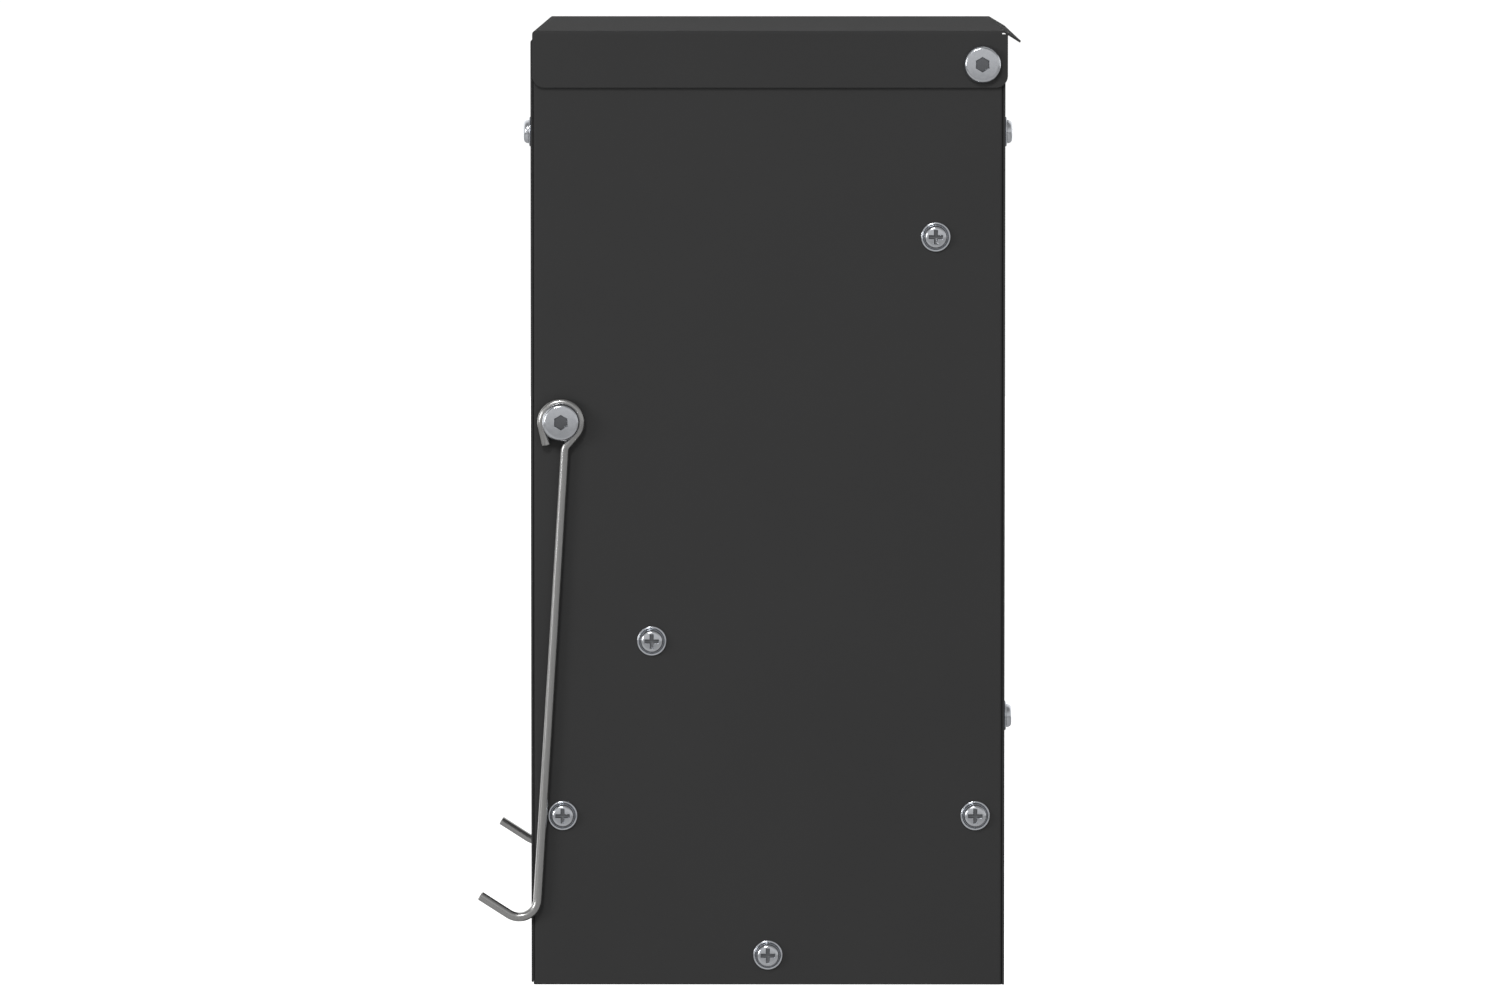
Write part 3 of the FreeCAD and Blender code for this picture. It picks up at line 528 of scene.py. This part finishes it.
def solids_of(node: str) -> list[tuple[Vector, Vector]]:
    """The boxes of a node's separate solids.

    Args:
        node: A CAD node's name.

    Returns:
        The lowest and highest corner of each solid, in metres, in a fixed order.
    """
    mesh = bmesh.new()
    mesh.from_mesh(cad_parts[node].data)
    bmesh.ops.remove_doubles(mesh, verts=mesh.verts, dist=WELD)
    unseen = set(mesh.verts)
    boxes = []
    while unseen:
        queue, group = [unseen.pop()], []
        while queue:
            vert = queue.pop()
            group.append(vert.co.copy())
            for edge in vert.link_edges:
                other = edge.other_vert(vert)
                if other in unseen:
                    unseen.remove(other)
                    queue.append(other)
        spread = np.array(group)
        boxes.append((Vector(spread.min(0)), Vector(spread.max(0))))
    mesh.free()
    return sorted(boxes, key=lambda pair: tuple(round(value, 5) for value in pair[0]))


@dataclass
class Dresser:
    """Gives the carried over CAD nodes and the new pieces their finishes."""

    groups: dict[str, bpy.types.ShaderNodeTree] = field(default_factory=dict)
    materials: dict[str, bpy.types.Material] = field(default_factory=dict)

    def prepare(self) -> None:
        """Builds the shader groups and every material."""
        self.groups = {"grain": grain_group(), "streaks": streak_group()}
        for finish in (POWDER, ZINC, WIRE, PLATING, RUBBER):
            self.materials[finish.name] = finish.material(self.groups)
            LOG.info("finish %s", finish.name)

    def wear(self, piece: bpy.types.Object, finish: Finish) -> None:
        """Puts one finish on a piece.

        Args:
            piece: The object.
            finish: Its finish.
        """
        piece.data.materials.clear()
        piece.data.materials.append(self.materials[finish.name])

    def wear_nodes(self, finish: Finish, *nodes: str) -> None:
        """Puts one finish on CAD nodes.

        Args:
            finish: Their finish.
            nodes: The nodes' names.
        """
        for node in nodes:
            self.wear(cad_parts[node], finish)
            LOG.info("node %s in %s", node, finish.name)


@dataclass
class Fasteners:
    """Every screw and washer, made again as turned surfaces where the CAD ones sit."""

    dresser: Dresser
    small: Screw = Screw(head_radius=4.5, head_height=2.2, rim=1.5, shank_radius=2.4, length=10.0,
                         seat=0.8, recess=Recess.CROSS, reach=2.8, width=1.5, depth=1.2)
    washer: Washer = Washer(radius=5.65, bore=2.45, thickness=0.8)
    lid_pivot: Screw = Screw(head_radius=7.2, head_height=2.6, rim=1.4, shank_radius=2.95,
                             length=13.0, seat=1.6, recess=Recess.HEXAGON, reach=2.9, width=0.0,
                             depth=1.9, pitch=1.0)
    hook_pivot: Screw = field(init=False)

    def __post_init__(self) -> None:
        """The hook's pivot screw is the lid's, seated on a longer bush."""
        self.hook_pivot = replace(self.lid_pivot, seat=4.1)

    def seats(self, node: str, height: float) -> list[tuple[Vector, Vector]]:
        """Where each fastener of a node meets its panel.

        Args:
            node: A CAD node of screws or washers.
            height: How far the node's outer face stands off the panel, in metres.

        Returns:
            The centre on the panel's face and the outward direction, for each solid.
        """
        places = []
        for low, high in solids_of(node):
            middle = (low + high) / 2
            if node.startswith("front"):
                places.append((Vector((middle.x, low.y + height, middle.z)), Vector((0, -1, 0))))
            elif node.startswith("rear"):
                places.append((Vector((middle.x, high.y - height, middle.z)), Vector((0, 1, 0))))
            elif middle.x > 0:
                places.append((Vector((high.x - height, middle.y, middle.z)), Vector((1, 0, 0))))
            else:
                places.append((Vector((low.x + height, middle.y, middle.z)), Vector((-1, 0, 0))))
        return places

    def remake(self, node: str, points: np.ndarray, height: float, closed: bool) -> None:
        """Replaces one node's solids with turned surfaces.

        Args:
            node: The CAD node.
            points: The drawing round +Z, in millimetres.
            height: How far its outer face stands off the panel, in millimetres.
            closed: True for a ring, whose outline is a loop.
        """
        meshes = []
        for centre, axis in self.seats(node, height * MM):
            placed = turned(centre, axis, points[..., :3] * MM)
            # the fourth value of the points is their painted shade
            meshes.append(surface(node, placed, closed, not closed, points[..., 3]))
        piece = join(f"{node}_turned", meshes)
        self.dresser.wear(piece, ZINC)
        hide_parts(node)
        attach(piece, "cabinet")
        LOG.info("piece %s with %d solids", piece.name, len(meshes))

    def build(self) -> None:
        """Makes every screw and washer."""
        for place in ("side_{}_left", "side_{}_right", "front_{}", "rear_{}"):
            top = self.small.seat + self.small.head_height
            self.remake(place.format("screws"), self.small.points(), top, False)
            self.remake(place.format("washers"), self.washer.points(), self.washer.thickness, True)
        for place, screw in (("lid", self.lid_pivot), ("hook", self.hook_pivot)):
            top = screw.seat + screw.head_height
            self.remake(f"{place}_pivot_screws", screw.points(), top, False)


@dataclass
class NewspaperHook:
    """One bent wire hook: loop, neck, arm and J, swept with a round section.

    Sizes are in millimetres, angles in degrees from the way to the wall, and the arm's drop is
    below the pivot.
    """

    dresser: Dresser
    side: Side
    pivot: tuple[float, float] = (-169.4, 20.9)
    wire: float = 1.75
    loop: float = 7.4
    exit_angle: float = -40.6
    tail_angle: float = 192.0
    tail: float = 7.6
    neck_bend: float = 4.0
    arm_offset: float = 2.0
    arm_lean: float = 3.48
    arm_drop: float = 195.2
    foot_bend: float = 7.2
    tip: float = 25.4
    tip_angle: float = 32.7
    edge: float = 0.3
    around: int = 40

    def polar(self, radius: float, degrees: float) -> np.ndarray:
        """A point at a distance and an angle from the pivot, in the plane of the hook.

        Args:
            radius: The distance.
            degrees: The angle.

        Returns:
            How far the point is towards the wall and upwards.
        """
        angle = math.radians(degrees)
        return np.array([radius * math.cos(angle), radius * math.sin(angle)])

    def bend(self, before: np.ndarray, corner: np.ndarray, after: np.ndarray,
             radius: float) -> np.ndarray:
        """Points of the arc that rounds a corner, tangent to both runs.

        Args:
            before: A point on the run before the corner.
            corner: The corner.
            after: A point on the run after it.
            radius: The arc's radius.

        Returns:
            The arc's points. It starts and ends at the radius over the tangent of half the
            angle from the corner, about a centre on the bisector.
        """
        back = (before - corner) / np.linalg.norm(before - corner)
        ahead = (after - corner) / np.linalg.norm(after - corner)
        half = math.acos(float(back @ ahead)) / 2
        middle = (back + ahead) / np.linalg.norm(back + ahead)
        centre = corner + middle * radius / math.sin(half)
        first = corner + back * radius / math.tan(half) - centre
        last = corner + ahead * radius / math.tan(half) - centre
        start = math.atan2(first[1], first[0])
        sweep = (math.atan2(last[1], last[0]) - start + math.pi) % (2 * math.pi) - math.pi
        angle = start + np.linspace(0.0, sweep, 20)
        return centre + radius * np.stack([np.cos(angle), np.sin(angle)], axis=-1)

    def line(self) -> np.ndarray:
        """Middle line of the wire: a straight tail, the loop's arc, the neck, the arm and the J.

        Returns:
            Points from the tail to the tip, in the plane of the hook.
        """
        angles = np.linspace(self.tail_angle, self.exit_angle, 72)
        arc = np.array([self.polar(self.loop, angle) for angle in angles])
        tail = arc[0] + self.polar(self.tail, self.tail_angle + 90)
        leave, way = arc[-1], self.polar(1.0, self.exit_angle - 90)
        lean = math.tan(math.radians(self.arm_lean))
        reach = (leave[0] - self.arm_offset - lean * leave[1]) / (lean * way[1] - way[0])
        neck = leave + way * reach
        corner = np.array([self.arm_offset - lean * self.arm_drop, -self.arm_drop])
        end = corner + self.polar(self.tip, 180 - self.tip_angle)
        start = np.linspace(tail, arc[0], 9)[:-1]
        neck_arc = self.bend(leave, neck, corner, self.neck_bend)
        foot_arc = self.bend(neck, corner, end, self.foot_bend)
        arm = np.linspace(neck_arc[-1], foot_arc[0], 40)[1:-1]
        foot = np.linspace(foot_arc[-1], end, 12)[1:]
        return np.concatenate([start, arc, neck_arc, arm, foot_arc, foot])

    def build(self) -> None:
        """Sweeps the wire, with a small chamfer at both cut ends, and puts it on its body."""
        line = self.line()
        way = np.gradient(line, axis=0)
        way /= np.linalg.norm(way, axis=1)[:, None]
        radius = np.full(len(line), self.wire)
        line = np.concatenate([line[:1], line[:1] + way[:1] * self.edge, line[1:-1],
                               line[-1:] - way[-1:] * self.edge, line[-1:]])
        way = np.concatenate([way[:1], way[:1], way[1:-1], way[-1:], way[-1:]])
        radius = np.concatenate([[self.wire - self.edge, self.wire], radius[1:-1],
                                 [self.wire, self.wire - self.edge]])
        angle = np.linspace(0.0, 2 * math.pi, self.around, endpoint=False)
        flat = np.stack([-way[:, 1], way[:, 0]], axis=-1)
        out = radius[:, None] * np.cos(angle)
        across = radius[:, None] * np.sin(angle)
        node = f"newspaper_hook_{self.side.word}"
        low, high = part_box(node)
        plane = (low.x + high.x) / 2 / MM
        x = plane + across
        y = self.pivot[0] + line[:, 0:1] + flat[:, 0:1] * out
        z = self.pivot[1] + line[:, 1:2] + flat[:, 1:2] * out
        points = np.stack([x, y, z], axis=-1) * MM
        piece = join(f"{node}_wire", [surface(node, points, False, True)])
        self.dresser.wear(piece, WIRE)
        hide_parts(node)
        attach(piece, f"hook_{self.side.word}")
        LOG.info("piece %s", piece.name)


@dataclass
class Studio:
    """Pale room and floor, two soft lights and a long lens. Sizes are in metres.

    Attributes:
        camera_place: Where the camera stands.
        pitch: How far it looks down, in radians.
        yaw: How far it looks away from -X, in radians.
        lens: Focal length in millimetres.
        floor_drop: From the box's lowest point to the floor.
        floor_reach: From the middle of the floor to its edge.
        floor_glow: X where the floor starts to glow and where it glows in full.
        far_glow: Brightness of the room behind the box.
        near_glow: Brightness of the room on the camera's side.
        sky_glow: What is added to the brightness overhead.
        turn: Where along X, as the room's direction, far turns to near.
        overhead: Where along Z, as the room's direction, the change overhead starts and ends.
        aim: The point that the lights face.
    """

    camera_place: tuple[float, float, float] = (4.1603, -0.0845, 0.2504)
    pitch: float = 0.0646
    yaw: float = -0.0032
    lens: float = 252.56
    floor_drop: float = 0.55
    floor_reach: float = 14.0
    floor_glow: tuple[float, float] = (-1.0, -4.0)
    far_glow: float = 1.05
    near_glow: float = 0.5
    sky_glow: float = -0.3
    turn: tuple[float, float] = (-0.6, 0.12)
    overhead: tuple[float, float] = (0.15, 0.85)
    aim: tuple[float, float, float] = (0.0, -0.09, 0.0)

    def floor(self) -> None:
        """Pale floor well below the box, which hangs on its wall holes."""
        level = CAD_LOW.z - self.floor_drop
        reach = self.floor_reach
        mesh = bpy.data.meshes.new("floor")
        corners = [(-reach, -reach, level), (reach, -reach, level),
                   (reach, reach, level), (-reach, reach, level)]
        mesh.from_pydata(corners, [], [(0, 1, 2, 3)])
        floor = bpy.data.objects.new("floor", mesh)
        bpy.context.scene.collection.objects.link(floor)
        made = bpy.data.materials.new("pale_floor")
        made.use_nodes = True
        shader = made.node_tree.nodes["Principled BSDF"]
        shader.inputs["Base Color"].default_value = (0.55, 0.55, 0.55, 1.0)
        shader.inputs["Roughness"].default_value = 0.9
        shader.inputs["Emission Color"].default_value = (1.0, 1.0, 1.0, 1.0)
        nodes, links = made.node_tree.nodes, made.node_tree.links
        place = nodes.new("ShaderNodeTexCoord")
        parts = nodes.new("ShaderNodeSeparateXYZ")
        links.new(place.outputs["Object"], parts.inputs["Vector"])
        glow = nodes.new("ShaderNodeMapRange")
        glow.interpolation_type = "SMOOTHSTEP"
        glow.inputs["From Min"].default_value = self.floor_glow[0]
        glow.inputs["From Max"].default_value = self.floor_glow[1]
        glow.inputs["To Max"].default_value = 1.0
        links.new(parts.outputs["X"], glow.inputs["Value"])
        links.new(glow.outputs["Result"], shader.inputs["Emission Strength"])
        mesh.materials.append(made)

    def world(self) -> None:
        """Surroundings: white behind the box, dimmer on the side seen first and overhead."""
        world = bpy.data.worlds.new("studio")
        world.use_nodes = True
        back = world.node_tree.nodes["Background"]
        back.inputs["Color"].default_value = (1.0, 1.0, 1.0, 1.0)
        nodes, links = world.node_tree.nodes, world.node_tree.links
        place = nodes.new("ShaderNodeTexCoord")
        parts = nodes.new("ShaderNodeSeparateXYZ")
        links.new(place.outputs["Object"], parts.inputs["Vector"])
        front = nodes.new("ShaderNodeMapRange")
        front.interpolation_type = "SMOOTHSTEP"
        front.inputs["From Min"].default_value = self.turn[0]
        front.inputs["From Max"].default_value = self.turn[1]
        front.inputs["To Min"].default_value = self.far_glow
        front.inputs["To Max"].default_value = self.near_glow
        links.new(parts.outputs["X"], front.inputs["Value"])
        above = nodes.new("ShaderNodeMapRange")
        above.interpolation_type = "SMOOTHSTEP"
        above.inputs["From Min"].default_value = self.overhead[0]
        above.inputs["From Max"].default_value = self.overhead[1]
        above.inputs["To Max"].default_value = self.sky_glow
        links.new(parts.outputs["Z"], above.inputs["Value"])
        total = nodes.new("ShaderNodeMath")
        links.new(front.outputs["Result"], total.inputs[0])
        links.new(above.outputs["Result"], total.inputs[1])
        links.new(total.outputs["Value"], back.inputs["Strength"])
        bpy.context.scene.world = world

    def light(self, name: str, place: tuple[float, float, float], size: float,
              power: float) -> None:
        """One square soft light that faces the box.

        Args:
            name: The light's name.
            place: Where it stands.
            size: Its width.
            power: Its power in watts.
        """
        lamp = bpy.data.lights.new(name, "AREA")
        lamp.size = size
        lamp.energy = power
        holder = bpy.data.objects.new(name, lamp)
        holder.location = place
        way = Vector(self.aim) - Vector(place)
        holder.rotation_euler = way.to_track_quat("-Z", "Y").to_euler()
        bpy.context.scene.collection.objects.link(holder)

    def camera(self) -> None:
        """Long lens that looks along -X, a little down on the lid."""
        data = bpy.data.cameras.new("camera")
        data.lens = self.lens
        data.clip_end = 100.0
        forward = Vector((-math.cos(self.yaw) * math.cos(self.pitch),
                          math.sin(self.yaw) * math.cos(self.pitch), -math.sin(self.pitch)))
        right = Vector((math.sin(self.yaw), math.cos(self.yaw), 0.0))
        up = right.cross(forward)
        facing = Matrix((right, up, -forward)).transposed()
        holder = bpy.data.objects.new("camera", data)
        holder.matrix_world = Matrix.Translation(self.camera_place) @ facing.to_4x4()
        bpy.context.scene.collection.objects.link(holder)
        bpy.context.scene.camera = holder

    def build(self) -> None:
        """Sets the whole studio."""
        bpy.context.scene.view_settings.view_transform = "Standard"
        self.floor()
        self.world()
        self.light("key", (2.1, -0.6, 1.75), 0.6, 17.0)
        self.light("strip", (1.3, -1.9, 0.4), 0.6, 7.0)
        self.camera()


def main() -> None:
    """Builds the pieces in order."""
    logging.basicConfig(level=logging.INFO, format="%(name)s: %(message)s")
    dresser = Dresser()
    dresser.prepare()
    dresser.wear_nodes(POWDER, "front_panel", "back_panel", "bottom_panel", "side_panel_left",
                       "side_panel_right", "baffle", "lid", "door")
    dresser.wear_nodes(ZINC, "side_nuts_left", "side_nuts_right", "front_nuts", "rear_nuts",
                       "lid_pivot_bushes", "lid_pivot_nuts", "hook_pivot_bushes", "hook_pivot_nuts",
                       "door_hinge_pin", "cam_screw")
    dresser.wear_nodes(PLATING, "lock_barrel", "lock_nut", "lock_plug", "lock_cam")
    dresser.wear_nodes(RUBBER, "lid_bumpers")
    Fasteners(dresser).build()
    for side in Side:
        NewspaperHook(dresser, side).build()
    Studio().build()


if __name__ == "__main__":
    main()
